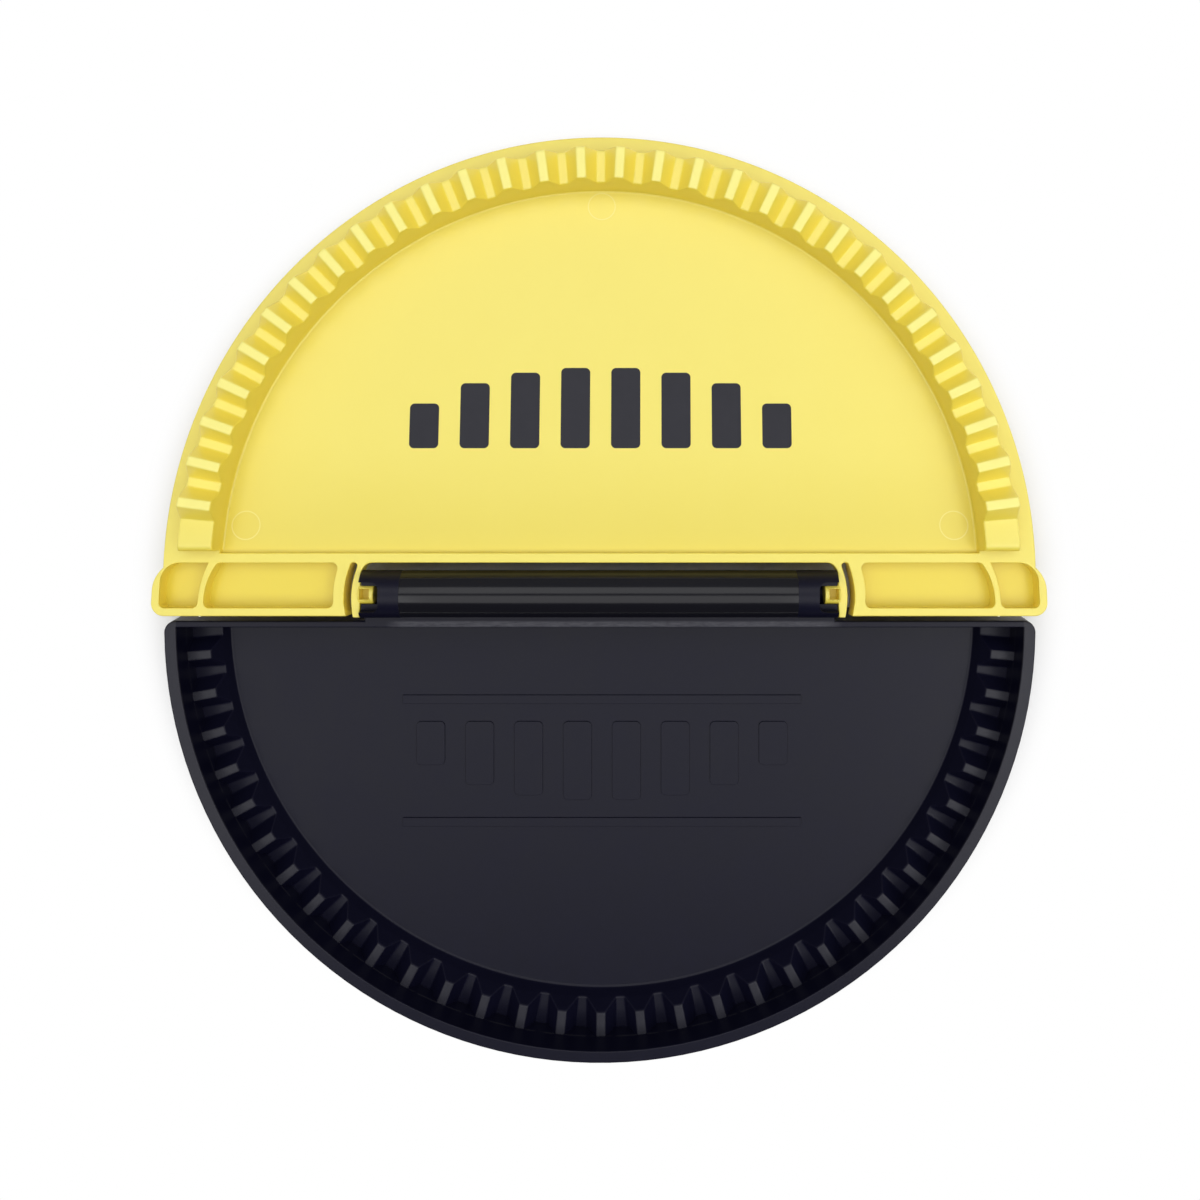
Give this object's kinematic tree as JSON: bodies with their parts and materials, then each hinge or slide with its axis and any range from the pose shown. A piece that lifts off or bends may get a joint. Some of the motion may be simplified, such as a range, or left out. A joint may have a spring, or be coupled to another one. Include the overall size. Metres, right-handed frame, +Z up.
{
  "type": "tortilla press",
  "caption": "Folding half-moon tortilla press in plastic: a tray and a lid with interlocking wavy crimp rings, hinged along their straight side.",
  "frame": {"origin": "centre of the base's arc on its flat underside, where the base stands on the table", "axes": "+X along the hinge, +Y from the base to the opened lid, +Z up"},
  "size_m": [0.215, 0.2273, 0.0253],
  "materials": {
    "yellow_polypropylene": "satin",
    "black_polypropylene": "satin",
    "charcoal_polypropylene": "satin"
  },
  "bodies": {
    "base": {"base_moulding": "black_polypropylene"},
    "lid": {"lid_moulding": "yellow_polypropylene", "emblem_bar_1": "charcoal_polypropylene", "emblem_bar_2": "charcoal_polypropylene", "emblem_bar_3": "charcoal_polypropylene", "emblem_bar_4": "charcoal_polypropylene", "emblem_bar_5": "charcoal_polypropylene", "emblem_bar_6": "charcoal_polypropylene", "emblem_bar_7": "charcoal_polypropylene", "emblem_bar_8": "charcoal_polypropylene"}
  },
  "joints": [
    {"name": "lid_hinge", "type": "hinge", "parent": "base", "child": "lid", "pos_m": [0, 0.0086, 0.0168], "axis": [1, 0, 0], "range_deg": [0, 188.04]}
  ]
}
